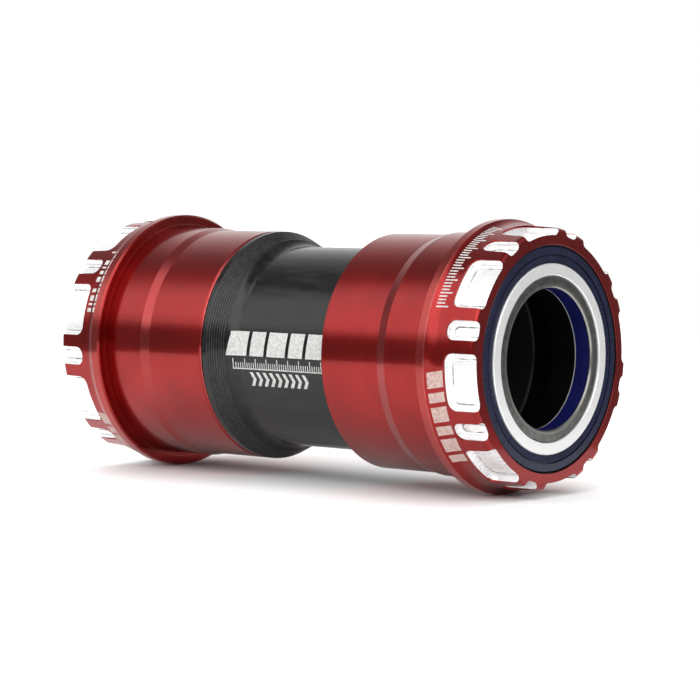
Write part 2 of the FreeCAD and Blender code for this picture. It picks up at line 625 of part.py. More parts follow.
def make_dust_seal(side):
    """Coloured ring that closes the cup's mouth: a flat land, a fine groove and a sloping band."""
    body = new_body(f"{side['name']}_dust_seal")
    back = f"{BEARING_OUT} + Sheet.running_gap"
    front = f"({FACE} - Sheet.dust_seal_face_depth)"
    inner = "Sheet.wear_ring_diameter / 2 + Sheet.running_gap"
    outer = "Sheet.mouth_diameter / 2 - Sheet.running_gap"
    groove_outer = "Sheet.dust_seal_groove / 2"
    groove_inner = "(Sheet.dust_seal_groove / 2 - Sheet.dust_seal_groove_width)"
    edge = "Sheet.race_edge_break / 2"
    revolve(body, [
        (back, inner),
        (back, outer),
        (f"{front} - {edge}", outer),
        (front, f"{outer} - {edge}"),
        (front, groove_outer),
        (f"{front} - Sheet.dust_seal_groove_depth", groove_outer),
        (f"{front} - Sheet.dust_seal_groove_depth", groove_inner),
        (f"{front} - Sheet.dust_seal_face_depth / 2", groove_inner),
        (f"{front} - Sheet.dust_seal_slope", inner),
    ])
    finish(body, side)


def make_wear_ring(side):
    """Bright ring pressed on the inner race's nose, which the dust seal runs around."""
    body = new_body(f"{side['name']}_wear_ring")
    back = f"{BEARING_OUT} + Sheet.running_gap"
    front = f"({FACE} - Sheet.wear_ring_face_depth)"
    inner = "Sheet.inner_shoulder / 2 + Sheet.press_gap"
    outer = "Sheet.wear_ring_diameter / 2"
    edge = "Sheet.race_edge_break / 2"
    revolve(body, [
        (back, inner),
        (back, outer),
        (f"{front} - {edge}", outer),
        (front, f"{outer} - {edge}"),
        (front, f"{inner} + {edge}"),
        (f"{front} - {edge}", inner),
    ])
    finish(body, side)


def make_liner(side):
    """Thin plastic band snapped into the inner race, flush with the race's bore."""
    body = new_body(f"{side['name']}_spindle_liner")
    revolve(body, [
        (f"{LINER_IN} + Sheet.press_gap", "Sheet.bearing_bore / 2"),
        (f"{LINER_IN} + Sheet.press_gap", LINER_OUTSIDE),
        (f"{LINER_OUT} - Sheet.press_gap", LINER_OUTSIDE),
        (f"{LINER_OUT} - Sheet.press_gap", "Sheet.bearing_bore / 2"),
    ])
    finish(body, side)


def make_o_ring(side):
    """O-ring in the cup's gland, squeezed onto the smooth part of the sleeve."""
    name = f"{side['name']}_sleeve_o_ring"
    ring = DOC.addObject("Part::Torus", name)
    ring.Label = name
    ring.setExpression("Radius1", "(Sheet.sleeve_diameter + Sheet.gland_bore) / 4")
    ring.setExpression("Radius2", "Sheet.o_ring_section / 2")
    DOC.recompute()
    middle = value(f"({GLAND_START} + {GLAND_END}) / 2")
    upright = FreeCAD.Placement(FreeCAD.Vector(middle, 0, 0), FreeCAD.Rotation(Y_AXIS, 90))
    finish(ring, side, upright)


# ---- assembly --------------------------------------------------------------------------------

def side_place(turn, flipped):
    """Drive pieces are drawn in place; the non-drive ones are turned end for end about +Z."""
    place = FreeCAD.Placement(FreeCAD.Vector(), FreeCAD.Rotation(X_AXIS, turn))
    if flipped:
        place = place.multiply(FreeCAD.Placement(FreeCAD.Vector(), FreeCAD.Rotation(Z_AXIS, 180)))
    return place


def make_side(side):
    make_cup(side)
    make_outer_race(side)
    make_inner_race(side)
    make_balls(side)
    make_cage(side)
    make_bearing_seal(side, "outboard", 1)
    make_bearing_seal(side, "inboard", -1)
    make_dust_seal(side)
    make_wear_ring(side)
    make_liner(side)
    make_o_ring(side)


def check_model():
    """Stop before writing anything if a feature failed or a sub-part isn't a sound solid."""
    for item in DOC.Objects:
        if "Invalid" in item.State or "Error" in item.State:
            raise RuntimeError(f"{item.Name} failed: {item.State}")
    for piece in SUB_PARTS:
        if piece.Shape.isNull() or not piece.Shape.isValid() or not piece.Shape.Solids:
            raise RuntimeError(f"{piece.Label} has no sound solid")


def export_model():
    os.makedirs("parts", exist_ok=True)
    for piece in SUB_PARTS:
        piece.Shape.exportStep(f"parts/{piece.Label}.step")


make_sleeve()
make_side({"name": "drive", "place": side_place(value("Sheet.drive_turn"), False)})
make_side({"name": "non_drive", "place": side_place(value("Sheet.non_drive_turn"), True)})
DOC.recompute()
check_model()
export_model()
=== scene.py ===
"""Looks of a two-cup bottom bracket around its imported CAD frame: materials, etched marks, stage and light.

Object coordinates are the CAD's own frame in metres, with the spindle axis along X. Materials and marks
work in millimetres: x along the axis, r out from it, and the angle around it from +Y towards +Z.
"""
import math

import bpy
from mathutils import Matrix, Vector


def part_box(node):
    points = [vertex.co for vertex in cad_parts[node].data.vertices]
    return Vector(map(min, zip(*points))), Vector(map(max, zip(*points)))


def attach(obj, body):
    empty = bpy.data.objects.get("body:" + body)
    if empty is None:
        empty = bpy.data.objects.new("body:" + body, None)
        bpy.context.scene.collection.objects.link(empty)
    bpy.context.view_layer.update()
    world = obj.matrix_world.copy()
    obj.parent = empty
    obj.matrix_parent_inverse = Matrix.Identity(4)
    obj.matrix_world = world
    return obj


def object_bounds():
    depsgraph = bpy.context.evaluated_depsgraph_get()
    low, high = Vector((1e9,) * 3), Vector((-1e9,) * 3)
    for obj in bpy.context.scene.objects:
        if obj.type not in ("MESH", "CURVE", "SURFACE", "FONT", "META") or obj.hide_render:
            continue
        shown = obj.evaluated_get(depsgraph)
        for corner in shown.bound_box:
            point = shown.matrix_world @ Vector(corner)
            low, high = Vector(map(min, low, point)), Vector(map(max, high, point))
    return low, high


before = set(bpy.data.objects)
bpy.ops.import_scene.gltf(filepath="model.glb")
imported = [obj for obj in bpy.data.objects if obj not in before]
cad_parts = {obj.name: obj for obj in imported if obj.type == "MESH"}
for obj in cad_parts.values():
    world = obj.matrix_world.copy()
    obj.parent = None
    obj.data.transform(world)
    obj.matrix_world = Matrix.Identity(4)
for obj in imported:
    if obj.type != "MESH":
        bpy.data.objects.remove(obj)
CAD_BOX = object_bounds()

MM = 0.001

# ------------------------------------------------------------------------------------ sizes from the frame
CUP_LOW, CUP_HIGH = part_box("drive_cup")
SLEEVE_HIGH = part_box("centre_sleeve")[1]
FACE = CUP_HIGH.x / MM                      # outboard face of a cup, from mid-plane
CUP_END = CUP_LOW.x / MM                    # inboard end of a cup, from mid-plane
SHOULDER = FACE - 10.8                      # flange face that rests on the frame's shell
SEAT_END = SHOULDER - 8.3                   # where the taper starts, below the pressed zone
TAPER_START = SEAT_END - 1.85
LIP_OUT = SHOULDER + 1.8
LIP_RADIUS = CUP_HIGH.z / MM
COVE_RADIUS = 2.8
CONE_START = SHOULDER + 3.9
CONE_START_RADIUS = 22.4
CONE_END_RADIUS = 22.0
FACE_EDGE = 0.7                             # round edge between the cone and the face
NOTCH_START = FACE - 5.6
NOTCH_FLOOR = 20.8
BODY_RADIUS = 20.3                          # less than the outside of a cup, more than its bore
MOUTH = 19.0                                # counterbore that the dust seal fills
CUP_STOP = FACE - 9.6                       # inboard side of the bearing stop
CUP_BORE = 19.4
LINER_IN = FACE - 3.5                       # inboard end of the spindle liner
RACE_BORE = 12.3
COLLAR_RADIUS = SLEEVE_HIGH.z / MM
TUBE_RADIUS = 17.9                          # smooth middle of the sleeve
CONE_TOP = -12.5                            # the collar's cone along X
CONE_FOOT = -9.5
CONE_FOOT_RADIUS = 19.2
BLEND_END = -7.0                            # where the collar's blend meets the tube
GROOVE_PITCH = 0.4
SLEEVE_BORE = 16.0


# -------------------------------------------------------------------------------------------- node helpers
class Graph:
    """Short calls for building one material's nodes."""

    def __init__(self, owner):
        """owner is the world, or the name of a new material."""
        is_world = isinstance(owner, bpy.types.World)
        self.owner = owner if is_world else bpy.data.materials.new(owner)
        self.owner.use_nodes = True
        self.tree = self.owner.node_tree
        self.tree.nodes.clear()
        self.output = self.node("ShaderNodeOutputWorld" if is_world else "ShaderNodeOutputMaterial")

    def node(self, kind, settings=None, **inputs):
        """Adds a node. Inputs are named with _ for a space."""
        made = self.tree.nodes.new(kind)
        for name, setting in (settings or {}).items():
            setattr(made, name, setting)
        for name, source in inputs.items():
            self.feed(made.inputs[name.replace("_", " ")], source)
        return made

    def feed(self, socket, source):
        if isinstance(source, bpy.types.NodeSocket):
            self.tree.links.new(source, socket)
        else:
            socket.default_value = source

    def math(self, operation, *values):
        made = self.tree.nodes.new("ShaderNodeMath")
        made.operation = operation
        for socket, value in zip(made.inputs, values):
            self.feed(socket, value)
        return made.outputs[0]

    def chain(self, operation, values):
        """One operation between the first two values, then between the result and each further value."""
        result = values[0]
        for value in values[1:]:
            result = self.math(operation, result, value)
        return result

    def times(self, *values):
        return self.chain("MULTIPLY", values)

    def plus(self, *values):
        return self.chain("ADD", values)

    def minus(self, first, second):
        return self.math("SUBTRACT", first, second)

    def most(self, *values):
        return self.chain("MAXIMUM", values)

    def ramp(self, value, low, high, to_low=0.0, to_high=1.0, smooth=True):
        """to_low below low, to_high above high, and a smooth change between them."""
        made = self.tree.nodes.new("ShaderNodeMapRange")
        made.interpolation_type = "SMOOTHSTEP" if smooth else "LINEAR"
        for socket, source in zip(made.inputs, (value, low, high, to_low, to_high)):
            self.feed(socket, source)
        return made.outputs[0]

    def fall(self, value, low, high):
        """1 below low and 0 above high."""
        return self.ramp(value, low, high, 1.0, 0.0)

    def between(self, value, low, high, soft=0.02):
        """1 where value is between low and high, with soft edges."""
        rise = self.ramp(value, low - soft, low + soft)
        return self.times(rise, self.fall(value, high - soft, high + soft))

    def weigh(self, first, first_share, second, second_share):
        """The sum of two values, each times its share."""
        return self.plus(self.times(first, first_share), self.times(second, second_share))

    def mix(self, share, first, second):
        """Colours: first at share 0, second at share 1."""
        made = self.tree.nodes.new("ShaderNodeMix")
        made.data_type = "RGBA"
        self.feed(made.inputs[0], share)
        self.feed(made.inputs[6], first)
        self.feed(made.inputs[7], second)
        return made.outputs[2]

    def blend(self, share, first, second):
        """Numbers: first at share 0, second at share 1."""
        made = self.tree.nodes.new("ShaderNodeMix")
        made.data_type = "FLOAT"
        self.feed(made.inputs[0], share)
        self.feed(made.inputs[2], first)
        self.feed(made.inputs[3], second)
        return made.outputs[0]

    def vector(self, x, y, z):
        made = self.tree.nodes.new("ShaderNodeCombineXYZ")
        for socket, source in zip(made.inputs, (x, y, z)):
            self.feed(socket, source)
        return made.outputs[0]

    def along(self, vector, direction):
        """How far a vector points in a fixed direction."""
        made = self.node("ShaderNodeVectorMath", {"operation": "DOT_PRODUCT"})
        self.feed(made.inputs[0], vector)
        self.feed(made.inputs[1], direction)
        return made.outputs["Value"]

    def noise(self, vector, scale, detail=2.0, roughness=0.5):
        made = self.node("ShaderNodeTexNoise", Vector=vector, Scale=scale, Detail=detail, Roughness=roughness)
        return made.outputs["Fac"]

    def bump(self, height, distance):
        return self.node("ShaderNodeBump", Strength=1.0, Distance=distance, Height=height).outputs[0]

    def shade(self, **inputs):
        """Finishes the material with one Principled shader."""
        shader = self.node("ShaderNodeBsdfPrincipled", **inputs)
        self.tree.links.new(shader.outputs[0], self.output.inputs[0])
        return self.owner


class Turned(Graph):
    """A material of a turned piece, with x, r and angle of the shaded point, in millimetres and radians."""

    def __init__(self, name):
        super().__init__(name)
        place = self.node("ShaderNodeTexCoord").outputs["Object"]
        scaled = self.node("ShaderNodeVectorMath", {"operation": "SCALE"}, Vector=place, Scale=1 / MM)
        self.place = scaled.outputs[0]
        self.x, y, z = self.node("ShaderNodeSeparateXYZ", Vector=self.place).outputs
        self.depth = self.math("ABSOLUTE", self.x)
        self.r = self.math("SQRT", self.plus(self.times(y, y), self.times(z, z)))
        self.angle = self.math("ARCTAN2", z, y)
        self.around = self.node("ShaderNodeTangent", {"direction_type": "RADIAL", "axis": "X"}).outputs[0]

    def lines(self, pitch, breakup=1.5, seed=0.0):
        """Turning lines: a noise that changes quickly along x and r, and slowly around the axis."""
        turn = self.times(self.angle, breakup)
        across = self.math("DIVIDE", self.plus(self.x, self.times(self.r, 1.37)), pitch)
        moved = self.node("ShaderNodeVectorMath", {"operation": "ADD"})
        self.feed(moved.inputs[0], self.vector(self.math("COSINE", turn), self.math("SINE", turn), across))
        self.feed(moved.inputs[1], (seed, seed * 0.7, seed * 1.3))
        return self.noise(moved.outputs[0], 1.0, 3.0, 0.6)

    def grain(self, along_x, around_axis, r, detail=2.0, roughness=0.5):
        """A noise with its own number of waves for a millimetre of x and for a radian."""
        place = self.vector(self.times(self.x, along_x), self.times(self.angle, around_axis), r)
        return self.noise(place, 1.0, detail, roughness)

    def turned_finish(self, anisotropy, **inputs):
        """Finishes the material with highlights drawn out across its turning lines."""
        return self.shade(Tangent=self.around, Anisotropic=anisotropy, Anisotropic_Rotation=0.25, **inputs)


# ----------------------------------------------------------------------------------------------- materials
RED_DEEP, RED_LIGHT = (0.235, 0.0045, 0.0040, 1), (0.305, 0.0075, 0.0062, 1)
# Painted highlights on the red: at its edges, on the flange's outer rim and on the taper.
RED_EDGE_HIGHLIGHT, RED_LIP_HIGHLIGHT, RED_TAPER_HIGHLIGHT = (0.75, 0.25, 0.22, 1), (0.70, 0.20, 0.17, 1), (0.75, 0.60, 0.58, 1)
# Painted shade for the cup's bore.
RED_BORE_SHADE = (0.006, 0.003, 0.003, 1)
BARE_METAL = (0.90, 0.905, 0.91, 1), (0.93, 0.93, 0.93, 1)
# Painted shade for the corners of the notches.
NOTCH_CORNER_SHADE = (0.10, 0.10, 0.10, 1)
BLACK_CLEAN, BLACK_SMEARED = (0.0035, 0.0036, 0.0040, 1), (0.011, 0.0115, 0.0115, 1)
# Painted highlight on the groove crests, and painted shade for the sleeve's bore.
BLACK_CREST_HIGHLIGHT, BLACK_BORE_SHADE = (0.045, 0.045, 0.045, 1), (0.005, 0.005, 0.005, 1)
STEEL = (0.17, 0.17, 0.164, 1), (0.25, 0.25, 0.241, 1)
# Painted highlight bands and a painted glint for the races; painted shade for their bore.
STEEL_CHAMFER_HIGHLIGHT, STEEL_GLINT = (0.45, 0.44, 0.41, 1), (0.62, 0.62, 0.60, 1)
STEEL_SHADOW = (0.006, 0.006, 0.006, 1)
BRIGHT = (0.90, 0.90, 0.89, 1), (0.98, 0.98, 0.97, 1)
BALL_STEEL = (0.62, 0.63, 0.65, 1), (0.72, 0.72, 0.73, 1)
CAGE = (0.42, 0.35, 0.23, 1), (0.52, 0.45, 0.32, 1)
RUBBER = (0.008, 0.008, 0.008, 1), (0.016, 0.016, 0.016, 1)
NAVY = (0.0085, 0.0105, 0.031, 1), (0.013, 0.0155, 0.044, 1)
BLUE = (0.0035, 0.005, 0.062, 1), (0.006, 0.0075, 0.092, 1)
ETCHED_WHITE = (0.40, 0.40, 0.39, 1), (0.62, 0.62, 0.60, 1)
ETCHED_PINK = (0.40, 0.25, 0.22, 1), (0.58, 0.44, 0.40, 1)
FLOOR = (0.86, 0.86, 0.86, 1), (0.90, 0.90, 0.90, 1)


def notch_mask(g):
    """1 where a tool notch cuts a cup: below the cone and its round edge, and short of the face."""
    cone = g.ramp(g.depth, CONE_START, FACE, CONE_START_RADIUS, CONE_END_RADIUS, smooth=False)
    past = g.most(g.minus(g.depth, FACE - FACE_EDGE), 0.0)
    rise = g.math("SQRT", g.most(g.minus(FACE_EDGE ** 2, g.times(past, past)), 0.0))
    blank = g.math("MINIMUM", cone, g.plus(CONE_END_RADIUS - FACE_EDGE, rise))
    ragged = g.times(g.minus(g.noise(g.place, 3.0, 2.0), 0.5), 0.05)
    below = g.minus(g.plus(blank, ragged), g.r)
    return g.times(
        g.ramp(below, 0.03, 0.08), g.ramp(g.r, BODY_RADIUS, BODY_RADIUS + 0.1),
        g.ramp(g.depth, NOTCH_START - 0.3, NOTCH_START - 0.2), g.fall(g.depth, FACE - 0.012, FACE - 0.006),
    )


def edge_highlight_mask(g):
    """Painted highlight lines on the red: at the corner where the flange's rim meets the cove, round the
    chamfer of the inner end, and a faint line on the shoulder where a root fillet would catch the light.
    """
    lip_highlight = g.between(g.depth, LIP_OUT - 0.08, LIP_OUT + 0.06)
    end = g.between(g.depth, CUP_END, CUP_END + 0.10)
    step = g.times(g.between(g.r, 21.58, 21.74), g.between(g.depth, SHOULDER - 0.05, SHOULDER + 0.05))
    outside = g.ramp(g.r, BODY_RADIUS - 0.2, BODY_RADIUS)
    return g.times(g.most(lip_highlight, end, step), outside, g.ramp(g.noise(g.place, 1.4, 3.0), 0.3, 0.6, 0.35, 0.9))


def shadow_mask(g):
    """Painted shade: the bore behind the bearing and the corner of the mouth, darkened where little light
    reaches.
    """
    stop = CUP_STOP + 0.5
    inside = g.times(g.fall(g.r, CUP_BORE, CUP_BORE + 0.1), g.fall(g.depth, stop, stop + 0.1))
    corner = g.times(g.fall(g.r, MOUTH + 0.16, MOUTH + 0.24), g.ramp(g.depth, stop, stop + 0.1))
    return g.most(inside, corner)


def red_anodised():
    """Turned, red anodised aluminium, with the tool notches milled through the colour to bare metal."""
    g = Turned("red_anodised_aluminium")
    fine = g.lines(0.11, seed=3.1)
    coarse = g.lines(0.9, 0.8, seed=8.2)
    cloud = g.noise(g.place, 0.16, 3.0)
    notch, edge_highlight, dark = notch_mask(g), edge_highlight_mask(g), shadow_mask(g)

    red = g.mix(g.ramp(g.weigh(fine, 0.4, cloud, 0.6), 0.3, 0.7), RED_DEEP, RED_LIGHT)
    # Painted highlight lines along the edges, in lighter red.
    red = g.mix(g.times(edge_highlight, 0.34), red, RED_EDGE_HIGHLIGHT)
    # Painted highlight: the flange's outer rim is a little lighter.
    rim = g.ramp(g.r, LIP_RADIUS - 0.1, LIP_RADIUS - 0.05)
    lip_highlight = g.times(g.between(g.depth, SHOULDER + 0.1, LIP_OUT), rim)
    red = g.mix(g.times(lip_highlight, 0.14), red, RED_LIP_HIGHLIGHT)
    # Painted highlight: a faint pink-white tint on the taper below the seat.
    taper_highlight = g.times(g.between(g.depth, TAPER_START, SEAT_END), g.ramp(g.r, BODY_RADIUS, BODY_RADIUS + 0.2))
    red = g.mix(g.times(taper_highlight, 0.035), red, RED_TAPER_HIGHLIGHT)
    # Painted shade in the bore and in the mouth's corner.
    red = g.mix(dark, red, RED_BORE_SHADE)

    milled = g.grain(0.5, 70.0, g.r)
    # Painted shade: a thin grey line in the corner of each notch floor, where the blend lies in shade.
    corner_shade = g.between(g.r, NOTCH_FLOOR + 0.012, NOTCH_FLOOR + 0.07, 0.008)
    corner_shade = g.times(corner_shade, g.ramp(g.noise(g.place, 0.55, 2.0), 0.38, 0.6, 0.15, 0.85))
    bare = g.mix(corner_shade, g.mix(g.ramp(milled, 0.3, 0.7), *BARE_METAL), NOTCH_CORNER_SHADE)

    rough = g.most(g.ramp(g.weigh(fine, 0.4, coarse, 0.6), 0.3, 0.7, 0.19, 0.25), g.times(dark, 0.6))
    height = g.blend(notch, g.plus(fine, g.times(coarse, 2.0)), milled)
    plain = g.times(g.minus(1.0, notch), g.minus(1.0, dark))
    return g.turned_finish(
        g.blend(notch, 0.65, 0.1), Base_Color=g.mix(notch, red, bare), Metallic=g.blend(notch, 0.88, 0.5),
        Roughness=g.blend(notch, rough, g.ramp(milled, 0.3, 0.7, 0.26, 0.31)), Specular_IOR_Level=0.5,
        Normal=g.bump(height, g.blend(notch, 0.0000003, 0.0000006)),
        Coat_Weight=g.times(plain, 0.42), Coat_Roughness=0.07, Coat_IOR=1.5,
    )


def black_anodised():
    """The sleeve: black anodised, with handling smears, turning lines, painted highlights on the crests of
    its grip grooves, and painted shade in its bore.
    """
    g = Turned("black_anodised_aluminium")
    fine = g.lines(0.10, seed=1.7)
    smear = g.grain(0.12, 9.0, g.r, 4.0, 0.6)
    scratch = g.grain(0.6, 90.0, 4.0, 3.0, 0.7)
    first_crest = CONE_TOP + 0.1
    above_tube = g.ramp(g.r, TUBE_RADIUS + 0.6, TUBE_RADIUS + 0.8)
    cone = g.times(g.between(g.x, first_crest, CONE_FOOT, 0.05), above_tube)
    swing = g.math("COSINE", g.times(g.minus(g.x, first_crest), 2 * math.pi / GROOVE_PITCH))
    # Painted highlight: lighter crests between the grip grooves.
    crest_highlight = g.times(cone, g.ramp(swing, -0.1, 0.9), g.ramp(g.noise(g.place, 1.2, 3.0), 0.3, 0.65, 0.35, 1.0))
    # Painted shade: the bore is a little darker, and matt.
    inside = g.fall(g.r, SLEEVE_BORE + 0.35, SLEEVE_BORE + 0.45)

    colour = g.mix(g.ramp(smear, 0.35, 0.7), BLACK_CLEAN, BLACK_SMEARED)
    colour = g.mix(inside, g.mix(crest_highlight, colour, BLACK_CREST_HIGHLIGHT), BLACK_BORE_SHADE)
    rough = g.ramp(g.weigh(smear, 0.7, fine, 0.3), 0.3, 0.7, 0.10, 0.24)
    return g.turned_finish(
        0.4, Base_Color=colour, Metallic=0.0, Roughness=g.blend(inside, rough, 0.62), IOR=1.40,
        Normal=g.bump(g.plus(fine, g.times(scratch, 1.5)), 0.000001), Coat_Weight=0.06, Coat_Roughness=0.06,
    )


def ground_steel():
    """Bearing races: ground steel with fine concentric lines, painted shade in the bore behind the liner, a
    painted glint at the liner's inboard end, and painted highlight bands by the bore's chamfer on the face.
    """
    g = Turned("ground_bearing_steel")
    fine = g.lines(0.07, 2.0, seed=5.5)
    bore = g.fall(g.r, RACE_BORE, RACE_BORE + 0.1)
    # Painted shade in the bore behind the liner, and a painted glint at the liner's inboard end.
    behind = g.times(bore, g.fall(g.depth, LINER_IN - 0.2, LINER_IN - 0.18))
    glint = g.times(bore, g.between(g.depth, LINER_IN - 0.18, LINER_IN + 0.05, 0.01))
    # Painted highlight: light bands on the face next to the bore, where its chamfer catches the light.
    ring = g.ramp(g.math("FRACT", g.times(g.r, 4.6)), 0.1, 0.3)
    face = g.ramp(g.depth, LINER_IN + 2.75, LINER_IN + 2.8)
    rings = g.times(g.fall(g.r, RACE_BORE + 0.3, RACE_BORE + 0.4), ring, face)

    colour = g.mix(g.ramp(g.noise(g.place, 0.9, 4.0), 0.35, 0.75), *STEEL)
    colour = g.mix(g.times(rings, 0.5), colour, STEEL_CHAMFER_HIGHLIGHT)
    colour = g.mix(glint, g.mix(behind, colour, STEEL_SHADOW), STEEL_GLINT)
    return g.turned_finish(
        0.6, Base_Color=colour, Metallic=g.blend(glint, 1.0, 0.3), Normal=g.bump(fine, 0.000001),
        Roughness=g.most(g.ramp(fine, 0.3, 0.7, 0.24, 0.38), g.times(behind, 0.6)),
    )


def bright_ring():
    """The wear ring: bright metal with a fine, slightly oblique brushed grain."""
    g = Turned("brushed_bright_metal")
    oblique = g.weigh(g.angle, 60.0, g.r, 3.0)
    grain = g.noise(g.vector(oblique, g.times(g.r, 1.2), g.x), 1.0, 4.0, 0.65)
    tone = g.ramp(g.weigh(grain, 0.6, g.noise(g.place, 7.0, 2.0), 0.4), 0.35, 0.65)
    return g.turned_finish(
        0.4, Base_Color=g.mix(tone, *BRIGHT), Metallic=0.55, Roughness=g.ramp(tone, 0.0, 1.0, 0.34, 0.44),
        Normal=g.bump(grain, 0.000003),
    )


def moulded(name, colours, rough_low, rough_high, rings=0.0, **more):
    """A moulded plastic or rubber: cloudy colour, a pebble grain, and moulding rings where asked for."""
    g = Turned(name)
    pebble = g.noise(g.place, 5.0, 3.0)
    tone = g.ramp(g.weigh(g.noise(g.place, 0.5, 3.0), 0.6, pebble, 0.4), 0.35, 0.65)
    height = g.plus(pebble, g.times(g.lines(0.18, 1.0, seed=2.2), rings))
    return g.shade(
        Base_Color=g.mix(tone, *colours), Roughness=g.ramp(pebble, 0.3, 0.7, rough_low, rough_high),
        Normal=g.bump(height, 0.000004), **more,
    )


def polished_balls():
    """Bearing balls: polished steel with faint lapping haze."""
    g = Turned("polished_ball_steel")
    haze = g.noise(g.place, 2.5, 4.0)
    colour = g.mix(g.ramp(haze, 0.4, 0.7), *BALL_STEEL)
    return g.shade(Base_Color=colour, Metallic=1.0, Roughness=g.ramp(haze, 0.3, 0.7, 0.05, 0.13))


def etched_print(name, colours):
    """Laser-etched marks: pale, matt and slightly uneven, as the burnt surface is."""
    g = Turned(name)
    dots = g.noise(g.place, 9.0, 2.0)
    tone = g.ramp(g.weigh(g.noise(g.place, 2.2, 4.0, 0.6), 0.55, dots, 0.45), 0.38, 0.6)
    return g.shade(
        Base_Color=g.mix(tone, *colours), Metallic=0.0, Roughness=g.ramp(dots, 0.3, 0.7, 0.55, 0.8),
        Normal=g.bump(dots, 0.000004),
    )


def give(node, material):
    """Puts one material on every slot of a CAD node."""
    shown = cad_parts[node]
    if not shown.material_slots:
        shown.data.materials.append(material)
    for slot in shown.material_slots:
        slot.material = material


def finish_nodes():
    steel = ground_steel()
    rubber = moulded("black_nitrile_rubber", RUBBER, 0.5, 0.7)
    looks = {
        "cup": red_anodised(),
        "bearing_outer_race": steel,
        "bearing_inner_race": steel,
        "bearing_balls": polished_balls(),
        "bearing_cage": moulded("bearing_cage_plastic", CAGE, 0.42, 0.58),
        "bearing_outboard_seal": rubber,
        "bearing_inboard_seal": rubber,
        "dust_seal": moulded("navy_moulded_seal", NAVY, 0.20, 0.30, rings=1.2, IOR=1.36),
        "wear_ring": bright_ring(),
        "spindle_liner": moulded("blue_moulded_liner", BLUE, 0.34, 0.46, rings=1.0),
        "sleeve_o_ring": rubber,
    }
    give("centre_sleeve", black_anodised())
    for side in ("drive", "non_drive"):
        for part, material in looks.items():
            give(f"{side}_{part}", material)


# -------------------------------------------------------------------------------------------- etched marks
MARK_LIFT = 0.006                # mm of the marks' surface above the metal
MARK_STEP = 0.35                 # mm, longest side of a mark's facets


def sleeve_radius(x):
    """Outside radius of the sleeve at x, from the collar down its cone and blend to the tube."""
    if x <= CONE_TOP:
        return COLLAR_RADIUS
    if x <= CONE_FOOT:
        return COLLAR_RADIUS + (CONE_FOOT_RADIUS - COLLAR_RADIUS) * (x - CONE_TOP) / (CONE_FOOT - CONE_TOP)
    if x >= BLEND_END:
        return TUBE_RADIUS
    length, drop = BLEND_END - CONE_FOOT, CONE_FOOT_RADIUS - TUBE_RADIUS
    radius = (length ** 2 + drop ** 2) / (2 * drop)
    return TUBE_RADIUS + radius - math.sqrt(radius ** 2 - (BLEND_END - x) ** 2)


def flange_radius(depth):
    """Outside radius of a cup's flange at a depth from mid-plane, over the cove and the cone."""
    if depth >= CONE_START:
        share = (depth - CONE_START) / (FACE - CONE_START)
        return CONE_START_RADIUS + share * (CONE_END_RADIUS - CONE_START_RADIUS)
    run = CONE_START - depth
    return CONE_START_RADIUS + COVE_RADIUS - math.sqrt(max(COVE_RADIUS ** 2 - run ** 2, 0.0))


def bar(u, v, width, height, slant=0.0):
    """Corners of a bar with its lower left corner at u, v, leaning by slant at its top."""
    return [(u, v), (u + width, v), (u + width + slant, v + height), (u + slant, v + height)]


def add_sheet(vertices, faces, outline, radius_at):
    """One four-cornered mark as a grid on the turned surface, closed by an underside and four edges."""
    a, b, c, d = [Vector(p) for p in outline]
    columns = max(1, math.ceil(max((b - a).length, (c - d).length) / MARK_STEP))
    rows = max(1, math.ceil(max((d - a).length, (c - b).length) / MARK_STEP))
    first = len(vertices)
    for lift in (MARK_LIFT, -2 * MARK_LIFT):
        for j in range(rows + 1):
            left, right = a.lerp(d, j / rows), b.lerp(c, j / rows)
            for i in range(columns + 1):
                u, v = left.lerp(right, i / columns)
                radius, turn = radius_at(u) + lift, v / radius_at(u)
                vertices.append((u * MM, -radius * math.cos(turn) * MM, radius * math.sin(turn) * MM))
    layer = (columns + 1) * (rows + 1)

    def at(i, j, under):
        return first + under * layer + j * (columns + 1) + i

    for j in range(rows):
        for i in range(columns):
            faces.append((at(i, j, 0), at(i + 1, j, 0), at(i + 1, j + 1, 0), at(i, j + 1, 0)))
            faces.append((at(i, j + 1, 1), at(i + 1, j + 1, 1), at(i + 1, j, 1), at(i, j, 1)))
    for i in range(columns):
        faces.append((at(i, 0, 1), at(i + 1, 0, 1), at(i + 1, 0, 0), at(i, 0, 0)))
        faces.append((at(i, rows, 0), at(i + 1, rows, 0), at(i + 1, rows, 1), at(i, rows, 1)))
    for j in range(rows):
        faces.append((at(0, j, 0), at(0, j + 1, 0), at(0, j + 1, 1), at(0, j, 1)))
        faces.append((at(columns, j, 1), at(columns, j + 1, 1), at(columns, j + 1, 0), at(columns, j, 0)))


def lay_marks(name, outlines, radius_at, mirrored, body, material):
    """Thin closed marks over the metal. u runs along the axis and v up its -Y side, both in millimetres."""
    vertices, faces = [], []
    for outline in outlines:
        add_sheet(vertices, faces, outline, radius_at)
    if mirrored:
        vertices = [(-x, y, z) for x, y, z in vertices]
        faces = [tuple(reversed(face)) for face in faces]
    mesh = bpy.data.meshes.new(name)
    mesh.from_pydata(vertices, [], faces)
    mesh.materials.append(material)
    piece = bpy.data.objects.new(name, mesh)
    bpy.context.scene.collection.objects.link(piece)
    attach(piece, body)


